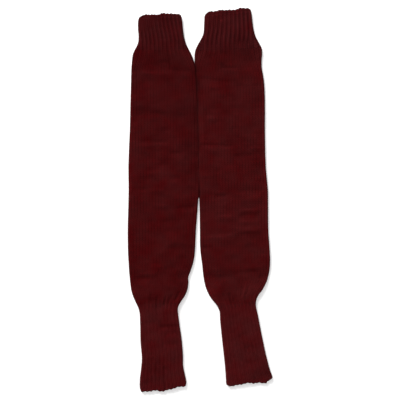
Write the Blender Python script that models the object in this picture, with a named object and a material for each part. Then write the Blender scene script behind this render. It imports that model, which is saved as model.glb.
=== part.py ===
"""Pair of long knitted leg warmers, laid flat side by side and touching along their inner sides.

Each leg warmer is one flattened tube in three pieces: a ribbed top cuff, a plain leg and a long
ribbed ankle cuff. A piece is a closed wall round a thin hollow, swept through the sections of a
table. Its underside is flat where it lies on the surface, and its sides are round folds.

Distances are in millimetres until a point is placed. The frame is +X across the pair, +Y towards
the top cuffs and +Z up, and the origin is under the middle of the pair.
"""
import math
from collections import namedtuple

import bmesh
import bpy

MM = 0.001

# Driving sizes
SEAM_GAP = 0.3            # left between two pieces that meet
SLIT = 1.2                # height of the hollow between the two layers of cloth
MOUTH_SLIT = 2.6          # height of the hollow at an open end
MOUTH_REACH = 14.0        # how far in from an open end the hollow closes to SLIT
TOP_JOINT = 72.0          # down to the joint of top cuff and leg, on both
ANKLE_JOINT = 529.2       # down to the joint of leg and ankle cuff, on both
PAIR_MIDDLE_X = -0.6      # middle of the pair, in the tables' own measure across
PAIR_MIDDLE_DOWN = 344.3  # middle of the pair, in the tables' own measure down

# Knitting: 46 stitches round in 1x1 rib give 23 ribs, and 13 of them lie on the top and folds
RIBS_ON_TOP = 13
POINTS_PER_RIB = 3        # one in the valley and two on the ridge
UNDERSIDE_SPANS = 3       # the flat underside is plain
TOP_CUFF_RELIEF = 1.5     # ridge to valley
ANKLE_CUFF_RELIEF = 1.0
JOINT_RELIEF_SHARE = 0.6  # how much of its relief a cuff keeps at its joint
TOP_GATHER_RELIEF = 0.8   # ribs and gathers that run on into the leg from the top cuff
ANKLE_GATHER_RELIEF = 1.4
TOP_GATHER_REACH = 12.0
ANKLE_GATHER_REACH = 24.0

# Rings along a tube
LEAST_RING_SPACING = 2.5
FOLD_SIDE_RING = 1.2      # rings beside a fold's middle, in fold breadths
FOLD_FADE = 0.12          # share of the width in which a fold's end fades out
SHARP_ANGLE = 50.0        # degrees; edges of the cut ends stay sharp

# One row for each section across a flattened tube. down: from the level of the higher top edge
# to the section's middle. left, right: its two folds. turn: degrees that its right end is
# raised by. bow: how far its middle hangs below its ends. high: its height over the surface.
Section = namedtuple("Section", "down left right turn bow high")

LEFT_SECTIONS = [
    Section(12.0, -104.5, -39.8, 3.2, -1.0, 7.0),
    Section(15.2, -108.6, -35.6, 3.2, -1.0, 7.6),
    Section(21.6, -110.5, -33.6, 3.0, -0.8, 7.8),
    Section(36.0, -110.7, -32.2, 2.5, 0.0, 7.8),
    Section(50.4, -109.6, -30.4, 2.0, 0.5, 7.7),
    Section(61.2, -110.3, -27.8, 1.5, 0.5, 7.5),
    Section(70.2, -113.8, -24.2, 1.0, 0.5, 7.3),
    Section(81.0, -119.4, -18.0, 0.5, 0.0, 6.9),
    Section(90.0, -121.8, -13.4, 0.0, 0.0, 6.6),
    Section(106.2, -123.6, -9.95, 0.0, 0.0, 6.4),
    Section(122.4, -124.2, -8.75, 0.0, 0.0, 6.3),
    Section(136.8, -124.5, -7.95, 0.0, 0.0, 6.2),
    Section(165.6, -125.2, -6.45, 0.0, 0.0, 6.2),
    Section(219.6, -126.6, -4.60, 0.0, 0.0, 6.2),
    Section(282.6, -129.0, -3.05, 0.0, 0.0, 6.2),
    Section(327.6, -128.6, -2.65, 0.0, 0.0, 6.2),
    Section(354.6, -129.2, -3.9, 0.0, 0.0, 6.2),
    Section(399.6, -130.3, -7.2, 0.0, 0.0, 6.2),
    Section(439.2, -129.7, -9.2, 0.0, 0.0, 6.3),
    Section(457.2, -128.7, -12.0, 0.0, 0.0, 6.4),
    Section(471.6, -127.7, -16.6, 0.0, 0.0, 6.5),
    Section(483.3, -126.7, -20.9, 0.0, 0.0, 6.5),
    Section(495.0, -125.5, -20.9, 0.0, 0.0, 6.7),
    Section(507.6, -123.6, -22.8, 0.5, 0.0, 7.0),
    Section(518.4, -120.0, -27.4, 1.0, 0.5, 7.3),
    Section(529.2, -114.8, -34.6, 1.5, 0.5, 7.4),
    Section(538.2, -110.9, -39.2, 2.0, 0.5, 7.3),
    Section(549.0, -108.0, -40.0, 2.5, 0.5, 7.1),
    Section(565.2, -106.8, -38.6, 3.0, 0.0, 7.0),
    Section(597.6, -106.2, -34.0, 3.0, 0.0, 7.0),
    Section(626.4, -103.8, -31.6, 3.0, 0.0, 7.0),
    Section(644.4, -105.0, -31.4, 4.0, 0.5, 7.1),
    Section(662.4, -107.2, -28.2, 5.0, 1.5, 7.3),
    Section(677.0, -107.4, -25.6, 6.5, 2.5, 7.3),
    Section(683.6, -105.4, -26.4, 7.5, 3.5, 6.9),
]

RIGHT_SECTIONS = [
    Section(4.4, 13.9, 86.7, 6.3, -0.8, 7.0),
    Section(7.8, 9.9, 90.0, 6.3, -0.8, 7.6),
    Section(14.4, 8.7, 91.6, 6.0, -0.5, 7.8),
    Section(28.8, 8.1, 93.3, 5.0, 0.0, 7.8),
    Section(43.2, 7.0, 95.4, 4.0, 0.5, 7.7),
    Section(54.0, 2.6, 98.6, 3.0, 0.5, 7.5),
    Section(63.0, -2.8, 103.6, 2.5, 0.5, 7.3),
    Section(73.8, -7.4, 109.4, 2.0, 0.5, 6.9),
    Section(82.8, -9.2, 110.9, 1.0, 0.0, 6.6),
    Section(93.6, -9.9, 110.7, 0.0, 0.0, 6.4),
    Section(106.2, -9.55, 111.0, 0.0, 0.0, 6.3),
    Section(122.4, -8.35, 113.6, 0.0, 0.0, 6.3),
    Section(136.8, -7.55, 115.5, 0.0, 0.0, 6.2),
    Section(165.6, -6.05, 116.7, 0.0, 0.0, 6.2),
    Section(219.6, -4.20, 116.8, 0.0, 0.0, 6.2),
    Section(282.6, -2.65, 118.2, 0.0, 0.0, 6.2),
    Section(327.6, -2.15, 122.0, 0.0, 0.0, 6.2),
    Section(354.6, -1.2, 122.4, 0.0, 0.0, 6.2),
    Section(399.6, -0.6, 122.9, 0.0, 0.0, 6.2),
    Section(426.6, -0.2, 124.8, 0.0, 0.0, 6.2),
    Section(446.4, 1.4, 125.8, 0.0, 0.0, 6.3),
    Section(460.8, 3.4, 125.9, 0.0, 0.0, 6.4),
    Section(475.2, 5.0, 124.3, 1.0, 0.0, 6.5),
    Section(489.6, 7.4, 121.2, 2.0, 0.0, 6.6),
    Section(500.4, 10.4, 117.0, 3.0, 0.0, 6.8),
    Section(511.2, 15.4, 111.6, 4.5, 0.5, 7.1),
    Section(520.2, 22.0, 105.0, 6.0, 0.5, 7.3),
    Section(529.2, 29.4, 101.2, 7.0, 0.5, 7.4),
    Section(540.0, 34.6, 100.6, 8.0, 0.5, 7.2),
    Section(554.4, 36.6, 102.6, 9.0, 0.0, 7.0),
    Section(583.2, 39.6, 108.0, 9.5, 0.0, 7.0),
    Section(612.0, 42.8, 113.8, 9.5, 0.0, 7.0),
    Section(640.8, 45.9, 120.3, 9.5, 0.5, 7.1),
    Section(658.8, 47.2, 125.4, 9.0, 1.5, 7.3),
    Section(669.0, 47.8, 129.0, 8.5, 2.5, 7.3),
    Section(673.4, 49.6, 127.6, 8.0, 3.0, 6.9),
]

# One row for each large fold on the top. down: its middle. start, end: where it runs, as shares
# of the width from the left. slope: how far its right end is raised. rise: over the cloth, or a
# trough where below 0. breadth: half its width along the leg.
Fold = namedtuple("Fold", "down start end slope rise breadth")

LEFT_FOLDS = [
    Fold(117.0, 0.12, 0.76, 2.0, 0.9, 5.0),
    Fold(245.0, 0.18, 0.56, 0.0, 0.8, 4.5),
    Fold(254.0, 0.16, 0.50, 0.0, -0.6, 4.0),
    Fold(463.0, 0.58, 0.94, 3.0, -0.8, 5.0),
    Fold(474.0, 0.28, 0.62, 5.0, 0.9, 5.0),
    Fold(485.0, 0.04, 1.00, 5.0, -1.2, 5.0),
    Fold(572.0, 0.48, 1.00, -1.0, -0.8, 3.5),
]

RIGHT_FOLDS = [
    Fold(127.0, 0.22, 1.00, -7.0, -1.0, 5.0),
    Fold(137.0, 0.30, 0.90, -6.0, 0.6, 4.5),
    Fold(246.0, 0.16, 0.44, 0.0, -0.8, 4.5),
    Fold(381.0, 0.62, 0.92, 4.0, 0.8, 4.5),
    Fold(403.0, 0.18, 0.56, 6.0, 0.9, 5.0),
    Fold(482.0, 0.04, 0.36, 0.0, -1.0, 5.0),
    Fold(492.0, 0.50, 0.94, 9.0, 0.8, 5.0),
]

# Yarn colours, linear
TOP_CUFF_COLOUR = (0.046, 0.0051, 0.0058, 1.0)
LEG_COLOUR = (0.051, 0.0046, 0.0053, 1.0)
ANKLE_CUFF_COLOUR = (0.054, 0.0055, 0.0062, 1.0)
YARN_ROUGHNESS = 0.9


def ease(share):
    """Smooth step from 0 to 1."""
    share = min(1.0, max(0.0, share))
    return share * share * (3 - 2 * share)


def section_at(table, down):
    """The section at any distance down, on a smooth curve through the table's rows."""
    last = len(table) - 2
    index = 0
    while index < last and down > table[index + 1].down:
        index += 1
    before = table[max(index - 1, 0)]
    start = table[index]
    end = table[index + 1]
    after = table[min(index + 2, len(table) - 1)]
    span = end.down - start.down
    share = (down - start.down) / span
    values = []
    for column in range(1, len(start)):
        slope_start = (end[column] - before[column]) / (end.down - before.down) * span
        slope_end = (after[column] - start[column]) / (after.down - start.down) * span
        value = (2 * share**3 - 3 * share**2 + 1) * start[column]
        value += (share**3 - 2 * share**2 + share) * slope_start
        value += (3 * share**2 - 2 * share**3) * end[column]
        value += (share**3 - share**2) * slope_end
        values.append(value)
    return Section(down, *values)


def slit_at(table, down):
    """Height of the hollow: wider at the tube's two open ends."""
    from_mouth = min(down - table[0].down, table[-1].down - down)
    closed = ease(from_mouth / MOUTH_REACH)
    return MOUTH_SLIT + (SLIT - MOUTH_SLIT) * closed


def flat_tube_point(distance, half_width, radius):
    """Point and outward direction on a flattened ring, from the left end of its flat underside
    up round the left fold, over the top and down round the right fold."""
    straight = 2 * (half_width - radius)
    bend = math.pi * radius
    if distance <= bend:
        angle = distance / radius
        out = (-math.sin(angle), -math.cos(angle))
        return (-half_width + radius + radius * out[0], radius + radius * out[1]), out
    if distance <= bend + straight:
        return (-half_width + radius + distance - bend, 2 * radius), (0.0, 1.0)
    angle = (distance - bend - straight) / radius
    out = (math.sin(angle), math.cos(angle))
    return (half_width - radius + radius * out[0], radius + radius * out[1]), out


def fold_rise(folds, section, across, down):
    """How much the folds lift or sink the top of the cloth at one point."""
    total = 0.0
    for fold in folds:
        share = (across - section.left) / (section.right - section.left)
        reach = min(share - fold.start, fold.end - share) / FOLD_FADE
        line = fold.down - fold.slope * (share - 0.5 * (fold.start + fold.end))
        away = (down - line) / fold.breadth
        total += fold.rise * ease(reach) * math.exp(-away * away)
    return total


def rings(table, folds, down, relief):
    """Outer and inner ring of one section, as points (across, up)."""
    section = section_at(table, down)
    half_width = 0.5 * (section.right - section.left)
    middle = 0.5 * (section.right + section.left)
    radius = 0.5 * section.high
    wall = 0.5 * (section.high - slit_at(table, down))
    over_top = 2 * (half_width - radius) + 2 * math.pi * radius
    count = RIBS_ON_TOP * POINTS_PER_RIB
    outer = []
    inner = []
    for number in range(count + 1):
        (across, up), out = flat_tube_point(over_top * number / count, half_width, radius)
        valley = number % POINTS_PER_RIB == 0
        if valley:
            inner.append((across - wall * out[0], up - wall * out[1]))
        lift = relief * (-0.5 if valley else 0.5) * min(1.0, up / radius)
        if out[1] > 0.5:
            up += fold_rise(folds, section, middle + across, down)
        outer.append((across + lift * out[0], max(0.0, up + lift * out[1])))
    flat = half_width - radius
    for number in range(1, UNDERSIDE_SPANS):
        outer.append((flat - 2 * flat * number / UNDERSIDE_SPANS, 0.0))
    fit = half_width / max(abs(across) for across, up in outer)
    outer = [(middle + fit * across, up) for across, up in outer]
    inner = [(middle + fit * across, up) for across, up in inner]
    return section, outer, inner


def place(section, point):
    """A ring's point in the part's own frame, in metres."""
    across, up = point
    middle = 0.5 * (section.left + section.right)
    half_width = 0.5 * (section.right - section.left)
    off_middle = across - middle
    along = off_middle * math.tan(math.radians(section.turn)) - section.down
    along -= section.bow * (1 - (off_middle / half_width) ** 2)
    return ((across - PAIR_MIDDLE_X) * MM, (along + PAIR_MIDDLE_DOWN) * MM, up * MM)


def stations(table, folds, start, end):
    """Distances down at which a piece has a ring: its table rows and its folds."""
    wanted = [start, end]
    for fold in folds:
        for side in (0.0, -FOLD_SIDE_RING, FOLD_SIDE_RING):
            wanted.append(fold.down + side * fold.breadth)
    wanted += [row.down for row in table]
    kept = []
    for down in wanted:
        inside = start <= down <= end
        if inside and all(abs(down - other) > LEAST_RING_SPACING for other in kept):
            kept.append(down)
    return sorted(kept)


def close_end(mesh, outer, inner):
    """Close the wall at one end of a tube, a face for each rib."""
    ribs = len(inner)
    for rib in range(ribs):
        first = rib * POINTS_PER_RIB
        corners = [outer[(first + step) % len(outer)] for step in range(POINTS_PER_RIB + 1)]
        mesh.faces.new(corners + [inner[(rib + 1) % ribs], inner[rib]])


def skin(mesh, before, after):
    """Join two rings of one surface."""
    for number in range(len(before)):
        following = (number + 1) % len(before)
        mesh.faces.new((before[number], before[following], after[following], after[number]))


def yarn(name, colour):
    """A plain matt wool material."""
    material = bpy.data.materials.new(name)
    material.use_nodes = True
    shader = material.node_tree.nodes["Principled BSDF"]
    shader.inputs["Base Color"].default_value = colour
    shader.inputs["Roughness"].default_value = YARN_ROUGHNESS
    shader.inputs["Metallic"].default_value = 0.0
    return material


def tube_piece(name, table, folds, start, end, relief_at, material):
    """One closed piece of a leg warmer, from start to end down its table."""
    mesh = bmesh.new()
    outer_rings = []
    inner_rings = []
    for down in stations(table, folds, start, end):
        section, outer, inner = rings(table, folds, down, relief_at(down))
        outer_rings.append([mesh.verts.new(place(section, point)) for point in outer])
        inner_rings.append([mesh.verts.new(place(section, point)) for point in inner])
    for before, after in zip(outer_rings, outer_rings[1:]):
        skin(mesh, before, after)
    for before, after in zip(inner_rings, inner_rings[1:]):
        skin(mesh, before, after)
    close_end(mesh, outer_rings[0], inner_rings[0])
    close_end(mesh, outer_rings[-1], inner_rings[-1])
    bmesh.ops.recalc_face_normals(mesh, faces=mesh.faces)
    data = bpy.data.meshes.new(name)
    mesh.to_mesh(data)
    mesh.free()
    data.materials.append(material)
    data.shade_smooth()
    data.set_sharp_from_angle(angle=math.radians(SHARP_ANGLE))
    piece = bpy.data.objects.new(name, data)
    bpy.context.scene.collection.objects.link(piece)
    return piece


def cuff_relief(depth, joint):
    """Ribs at full depth, a little flatter at the joint to the leg."""
    def relief_at(down):
        away = ease(abs(down - joint) / TOP_GATHER_REACH)
        return depth * (JOINT_RELIEF_SHARE + (1 - JOINT_RELIEF_SHARE) * away)
    return relief_at


def gather_relief(down):
    """Ribs and gathers that run into the leg from both cuffs and fade out."""
    from_top = 1 - ease((down - TOP_JOINT) / TOP_GATHER_REACH)
    from_ankle = 1 - ease((ANKLE_JOINT - down) / ANKLE_GATHER_REACH)
    return TOP_GATHER_RELIEF * from_top + ANKLE_GATHER_RELIEF * from_ankle


def leg_warmer(side, table, folds):
    """Top cuff, leg and ankle cuff of one leg warmer."""
    half_gap = 0.5 * SEAM_GAP
    tube_piece(
        side + "_top_cuff", table, folds, table[0].down, TOP_JOINT - half_gap,
        cuff_relief(TOP_CUFF_RELIEF, TOP_JOINT), yarn(side + "_top_cuff_yarn", TOP_CUFF_COLOUR),
    )
    tube_piece(
        side + "_leg", table, folds, TOP_JOINT + half_gap, ANKLE_JOINT - half_gap,
        gather_relief, yarn(side + "_leg_yarn", LEG_COLOUR),
    )
    tube_piece(
        side + "_ankle_cuff", table, folds, ANKLE_JOINT + half_gap, table[-1].down,
        cuff_relief(ANKLE_CUFF_RELIEF, ANKLE_JOINT),
        yarn(side + "_ankle_cuff_yarn", ANKLE_CUFF_COLOUR),
    )


def main():
    for old in list(bpy.data.objects):
        bpy.data.objects.remove(old, do_unlink=True)
    leg_warmer("left", LEFT_SECTIONS, LEFT_FOLDS)
    leg_warmer("right", RIGHT_SECTIONS, RIGHT_FOLDS)


main()
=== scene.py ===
"""Looks of a pair of long knitted leg warmers, laid flat side by side and seen from above.

Every stitch is real form: a grid runs round and down each tube, with its rows bent along the
arms of the stitches, and each stitch is raised from it. The colour and the twist of the yarn
come from nodes that read the same stitch measures.

Tables and sizes are in millimetres, as the solids' are. A wale is a column of stitches and a
course is a row of them.
"""
import math

import bpy
import numpy as np
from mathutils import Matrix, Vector


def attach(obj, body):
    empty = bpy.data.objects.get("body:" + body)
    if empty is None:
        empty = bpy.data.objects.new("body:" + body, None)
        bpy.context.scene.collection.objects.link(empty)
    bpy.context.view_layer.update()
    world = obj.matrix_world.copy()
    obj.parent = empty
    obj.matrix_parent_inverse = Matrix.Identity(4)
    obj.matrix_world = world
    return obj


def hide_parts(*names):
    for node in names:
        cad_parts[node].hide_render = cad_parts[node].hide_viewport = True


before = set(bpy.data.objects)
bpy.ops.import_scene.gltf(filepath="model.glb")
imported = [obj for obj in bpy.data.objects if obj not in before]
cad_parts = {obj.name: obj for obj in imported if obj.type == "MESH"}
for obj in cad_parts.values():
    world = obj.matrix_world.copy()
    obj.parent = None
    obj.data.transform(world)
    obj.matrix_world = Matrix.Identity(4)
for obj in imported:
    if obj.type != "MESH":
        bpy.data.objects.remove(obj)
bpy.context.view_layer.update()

MM = 0.001

# Sizes shared with the solids
TOP_JOINT = 72.0        # down to the joint of top cuff and leg
ANKLE_JOINT = 529.2     # down to the joint of leg and ankle cuff
SLIT = 1.2              # height of the hollow between the two layers of cloth
MOUTH_SLIT = 2.6        # height of the hollow at an open end
MOUTH_REACH = 14.0      # how far in from an open end the hollow closes to SLIT
PAIR_MIDDLE_X = -0.6
PAIR_MIDDLE_DOWN = 344.3

# Camera's view
VIEW_ACROSS = 720.0
VIEW_MIDDLE_X = -0.2
VIEW_MIDDLE_Y = -0.7
FLOOR_DROP = 0.2        # keeps the floor off the undersides

# Stitches
WALES = 46              # round a tube
TOP_WALES = 26          # of them over the top and round both folds
SPARE_FINE_WALES = 2    # finely modelled wales past each fold of a cuff
LEG_COURSES = 112
TOP_CUFF_COURSES = 16
ANKLE_CUFF_COURSES = 41
ROWS_PER_COURSE = 4
ARM_REACH = 4.4         # how far a stitch's two arms run up from its point
STITCH_RELIEF = 1.3
PURL_RELIEF = 0.7
SUNK_SHARE = 0.55       # of the stitches' relief that lies below the solids' surface
KNIT_GROOVE = 0.15      # of its height that a plain stitch keeps in the groove to the next
PURL_GROOVE = 0.2       # the same for a purl stitch
GROOVE_POWER = 0.6      # narrows the grooves
STITCH_RANGE = (0.82, 1.12)  # of single stitches' heights

# Section across a stitch: place from its left side, -1, to its right, 1, and height
FINE_STITCH = [(-1, 0.0), (-2 / 3, 0.98), (-1 / 3, 0.92), (0, 0.45), (1 / 3, 0.92), (2 / 3, 0.98)]
COARSE_STITCH = [(-1, 0.0), (0, 1.0)]

# Ribs
TOP_CUFF_RIB = 1.5      # ribs over the valleys between them
ANKLE_CUFF_RIB = 0.6
TOP_RIB_SHARE = 0.66    # of a rib and its valley that the rib takes up in a cuff
ANKLE_RIB_SHARE = 0.74
TOP_GATHER_RIB = 1.0    # ribs that run on into the leg
ANKLE_GATHER_RIB = 0.6
TOP_GATHER_REACH = 21.0
ANKLE_GATHER_REACH = 18.0
PUCKER_DOWN = 532.0     # middle of the uneven gathers at the ankle
PUCKER_REACH = 14.0
PUCKER_RANGE = (0.3, 1.7)  # of the valleys' depths there
JOINT_COURSES = 3.0     # courses over which a rib turns into plain stitches
HELD_SIDES = 0.14       # share of the width, at each side, that stretches beside straight ribs
PRESSED_FILL = 0.4      # how far a valley fills where its ribs are pressed flat

# Creases, and what the inner side follows of them
CREASE_FADE = 0.2       # share of a crease's length over which each of its ends fades
CREASE_SPREADS = 3.0    # how many of its spreads a crease reaches
INNER_TOP_SHARE = 0.7   # of a crease that the top layer's inner side follows
INNER_UNDER_SHARE = 0.5  # of a trough that the lower layer's inner side follows

# Open ends
MOUTH_COURSES = 2.5     # courses over which the stitches straighten
RIB_SCALLOP = 0.45      # how far ribs stand out past the valleys there
SCALLOP_REACH = 6.0     # how far in the scallops run
EDGE_WAVE = 1.0         # slow wave of the edge
EDGE_WAVES = 4          # how many there are round a tube
EDGE_RIPPLE = 0.6       # height of waves half as long, as a share of it
EDGE_REACH = 12.0       # how far in the waves run
EDGE_INSET = 1.2        # makes up for the rim that rolls round the edge
UNDERLAY = 1.2          # how far the lower layer's edge stays behind the upper one's
UNDERLAY_WALES = 2.0    # wales over which the one turns into the other

# Folds
FOLD_INSET = 0.2        # holds the crests in line with the solid's sides
CUFF_OUTSET = 1.1       # brings a cuff's folds out to them, because they lie in a valley
TOP_OUTSET_END = (74.0, 100.0)
ANKLE_OUTSET_START = (538.0, 560.0)
FOLD_RELIEF = 0.5       # share of the relief that is left where it is pressed

# Where the legs touch, both folds lean to the right above a level and to the left below it, so
# that the left leg's lies over the right leg's
SEAM_LEAN = 2.0
SEAM_LEVEL = 2.7
SEAM_RISE = 1.0         # height over which they lean most
SEAM_SIDE = 0.8         # share of the half width out from which they lean
SEAM_TOP = 84.0         # down to where the legs begin to touch
SEAM_TOP_FADE = 20.0
SEAM_BOTTOM = 346.0     # down to where they have parted
SEAM_BOTTOM_FADE = 8.0

# One row for each section across a flattened tube. down: from the level of the higher top edge
# to the section's middle. left, right: its two folds. turn: degrees that its right end is
# raised by. bow: how far its middle hangs below its ends. high: its height over the surface.
LEFT_SECTIONS = [
    (12, -104.5, -39.8, 3.2, -1, 7),
    (15.2, -108.6, -35.6, 3.2, -1, 7.6),
    (21.6, -110.5, -33.6, 3, -0.8, 7.8),
    (36, -110.7, -32.2, 2.5, 0, 7.8),
    (50.4, -109.6, -30.4, 2, 0.5, 7.7),
    (61.2, -110.3, -27.8, 1.5, 0.5, 7.5),
    (70.2, -113.8, -24.2, 1, 0.5, 7.3),
    (81, -119.4, -18, 0.5, 0, 6.9),
    (90, -121.8, -13.4, 0, 0, 6.6),
    (106.2, -123.6, -9.95, 0, 0, 6.4),
    (122.4, -124.2, -8.75, 0, 0, 6.3),
    (136.8, -124.5, -7.95, 0, 0, 6.2),
    (165.6, -125.2, -6.45, 0, 0, 6.2),
    (219.6, -126.6, -4.6, 0, 0, 6.2),
    (282.6, -129, -3.05, 0, 0, 6.2),
    (327.6, -128.6, -2.65, 0, 0, 6.2),
    (354.6, -129.2, -3.9, 0, 0, 6.2),
    (399.6, -130.3, -7.2, 0, 0, 6.2),
    (439.2, -129.7, -9.2, 0, 0, 6.3),
    (457.2, -128.7, -12, 0, 0, 6.4),
    (471.6, -127.7, -16.6, 0, 0, 6.5),
    (483.3, -126.7, -20.9, 0, 0, 6.5),
    (495, -125.5, -20.9, 0, 0, 6.7),
    (507.6, -123.6, -22.8, 0.5, 0, 7),
    (518.4, -120, -27.4, 1, 0.5, 7.3),
    (529.2, -114.8, -34.6, 1.5, 0.5, 7.4),
    (538.2, -110.9, -39.2, 2, 0.5, 7.3),
    (549, -108, -40, 2.5, 0.5, 7.1),
    (565.2, -106.8, -38.6, 3, 0, 7),
    (597.6, -106.2, -34, 3, 0, 7),
    (626.4, -103.8, -31.6, 3, 0, 7),
    (644.4, -105, -31.4, 4, 0.5, 7.1),
    (662.4, -107.2, -28.2, 5, 1.5, 7.3),
    (677, -107.4, -25.6, 6.5, 2.5, 7.3),
    (683.6, -105.4, -26.4, 7.5, 3.5, 6.9),
]

RIGHT_SECTIONS = [
    (4.4, 13.9, 86.7, 6.3, -0.8, 7),
    (7.8, 9.9, 90, 6.3, -0.8, 7.6),
    (14.4, 8.7, 91.6, 6, -0.5, 7.8),
    (28.8, 8.1, 93.3, 5, 0, 7.8),
    (43.2, 7, 95.4, 4, 0.5, 7.7),
    (54, 2.6, 98.6, 3, 0.5, 7.5),
    (63, -2.8, 103.6, 2.5, 0.5, 7.3),
    (73.8, -7.4, 109.4, 2, 0.5, 6.9),
    (82.8, -9.2, 110.9, 1, 0, 6.6),
    (93.6, -9.9, 110.7, 0, 0, 6.4),
    (106.2, -9.55, 111, 0, 0, 6.3),
    (122.4, -8.35, 113.6, 0, 0, 6.3),
    (136.8, -7.55, 115.5, 0, 0, 6.2),
    (165.6, -6.05, 116.7, 0, 0, 6.2),
    (219.6, -4.2, 116.8, 0, 0, 6.2),
    (282.6, -2.65, 118.2, 0, 0, 6.2),
    (327.6, -2.15, 122, 0, 0, 6.2),
    (354.6, -1.2, 122.4, 0, 0, 6.2),
    (399.6, -0.6, 122.9, 0, 0, 6.2),
    (426.6, -0.2, 124.8, 0, 0, 6.2),
    (446.4, 1.4, 125.8, 0, 0, 6.3),
    (460.8, 3.4, 125.9, 0, 0, 6.4),
    (475.2, 5, 124.3, 1, 0, 6.5),
    (489.6, 7.4, 121.2, 2, 0, 6.6),
    (500.4, 10.4, 117, 3, 0, 6.8),
    (511.2, 15.4, 111.6, 4.5, 0.5, 7.1),
    (520.2, 22, 105, 6, 0.5, 7.3),
    (529.2, 29.4, 101.2, 7, 0.5, 7.4),
    (540, 34.6, 100.6, 8, 0.5, 7.2),
    (554.4, 36.6, 102.6, 9, 0, 7),
    (583.2, 39.6, 108, 9.5, 0, 7),
    (612, 42.8, 113.8, 9.5, 0, 7),
    (640.8, 45.9, 120.3, 9.5, 0.5, 7.1),
    (658.8, 47.2, 125.4, 9, 1.5, 7.3),
    (669, 47.8, 129, 8.5, 1, 7.3),
    (673.4, 49.6, 127.6, 8, 1, 6.9),
]

# One row for each crease that runs across the top. down: its middle. start, end: where it runs,
# as shares of the width from the left. slope: how far it climbs to the right, for the whole
# width. rise: over the cloth, or a trough where below 0. above, below: how far it spreads.
LEFT_CREASES = [
    (99, 0.16, 0.4, 2, 0.5, 5, 5),
    (113, 0.6, 0.96, 0, -1.2, 4, 6),
    (119, 0.08, 0.7, -5, 1.9, 4.5, 8),
    (137.5, 0.08, 0.46, 2, -0.6, 5, 7),
    (160, 0.3, 0.62, 4, 0.6, 5, 5),
    (190, 0, 0.84, -19, -2, 6.5, 12),
    (206, 0.08, 0.44, -6, 0.6, 6, 8),
    (221, 0.4, 0.62, 2, -0.5, 3.5, 5),
    (240, 0.12, 0.62, 0, -0.9, 4.5, 5.5),
    (247.5, 0.08, 0.64, 1, 1.2, 4, 5),
    (261, 0.56, 0.8, -2, -1.4, 4, 6),
    (279, 0.2, 0.5, 3, 0.6, 4, 6),
    (297.5, 0.24, 0.54, -2, 1.2, 3.5, 6),
    (306, 0.56, 0.76, 0, -1.6, 4, 5),
    (326, 0.05, 0.27, 0, -1.5, 4, 5),
    (328, 0.26, 0.54, -1, 1.3, 3.5, 6),
    (341, 0.6, 0.86, 4, 0.6, 5, 5),
    (356, 0.3, 0.62, 0, 1.1, 4, 6),
    (358, 0.68, 1, -2, -1.5, 4, 5),
    (367, 0.76, 0.98, -6, 0.9, 3.5, 5),
    (382, 0.3, 0.8, -5, -1, 4.5, 6),
    (397, 0.12, 0.36, 3, 0.6, 5, 6),
    (423, 0.52, 1.04, -1, 1.4, 12, 4.5),
    (430, 0.3, 0.56, 0, 0.7, 4, 6),
    (441, 0.68, 0.88, 5, 0.9, 3.5, 6),
    (450, 0.14, 0.36, -4, -0.6, 4, 5),
    (465, 0.32, 0.54, 0, 1.3, 4, 5),
    (468, 0.56, 0.78, 0, -1, 4, 6),
    (476, 0.24, 0.48, 9, 1.7, 5, 6),
    (483, 0.5, 1.02, 6, -0.4, 4.5, 6),
    (486, 0.06, 0.34, 0, -1.2, 4, 6),
    (500, 0.56, 0.84, 4, 0.7, 4, 5),
    (525, 0.28, 0.54, 0, -0.8, 5, 5),
    (523, 0.66, 0.9, 4, -0.5, 4.5, 4.5),
    (543, 0.52, 1.02, 0, 1.2, 9, 9),
    (564, 0.06, 0.46, 6, -1.1, 4, 8),
    (573.5, 0.46, 1.02, -1, -1.5, 4, 5.5),
    (585, 0.6, 1, 0, -0.9, 4, 5),
    (605, 0.46, 0.98, 0, -1.3, 6, 8),
    (626, 0.1, 0.6, -4, 0.7, 7, 7),
    (671, 0.08, 0.5, 0, -1.3, 8, 9),
]

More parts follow.
